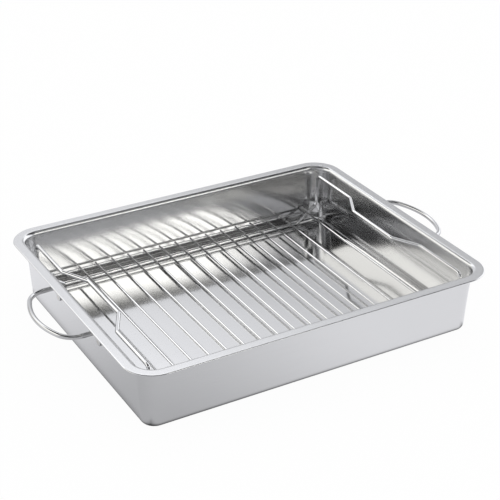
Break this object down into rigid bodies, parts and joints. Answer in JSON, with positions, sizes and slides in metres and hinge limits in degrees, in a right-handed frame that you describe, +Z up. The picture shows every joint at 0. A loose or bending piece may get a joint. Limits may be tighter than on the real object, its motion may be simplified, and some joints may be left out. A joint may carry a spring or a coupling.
{
  "type": "roasting pan with rack",
  "caption": "Rectangular steel roasting pan with a flat rim and a wire loop handle on each end wall, holding a loose wire rack that stands on foot rails and lifts out by its raised end bars.",
  "frame": {"origin": "centre of the flat ring that the pan stands on", "axes": "+X along the long side through the two loop handles, +Y across the pan, +Z up out of the pan"},
  "size_m": [0.4648, 0.322, 0.0682],
  "materials": {
    "pan_sheet": "brushed satin stainless sheet",
    "handle_wire": "polished stainless wire",
    "tab_plate": "satin stainless plate",
    "rack_wire": "bright plated wire"
  },
  "bodies": {
    "pan": {"pan_body": "pan_sheet", "pan_handle_left": "handle_wire", "pan_handle_right": "handle_wire", "handle_tab_left_front": "tab_plate", "handle_tab_left_back": "tab_plate", "handle_tab_right_front": "tab_plate", "handle_tab_right_back": "tab_plate"},
    "rack": {"rack_frame_left": "rack_wire", "rack_frame_right": "rack_wire", "rack_end_wire_front": "rack_wire", "rack_end_wire_back": "rack_wire", "rack_cross_wire_01": "rack_wire", "rack_cross_wire_02": "rack_wire", "rack_cross_wire_03": "rack_wire", "rack_cross_wire_04": "rack_wire", "rack_cross_wire_05": "rack_wire", "rack_cross_wire_06": "rack_wire", "rack_cross_wire_07": "rack_wire", "rack_cross_wire_08": "rack_wire", "rack_cross_wire_09": "rack_wire", "rack_cross_wire_10": "rack_wire", "rack_cross_wire_11": "rack_wire", "rack_cross_wire_12": "rack_wire", "rack_cross_wire_13": "rack_wire", "rack_cross_wire_14": "rack_wire", "rack_cross_wire_15": "rack_wire", "rack_cross_wire_16": "rack_wire"}
  },
  "joints": [
    {"name": "rack_lift", "type": "slide", "parent": "pan", "child": "rack", "axis": [0, 0, 1], "range_m": [0, 0.1]}
  ]
}
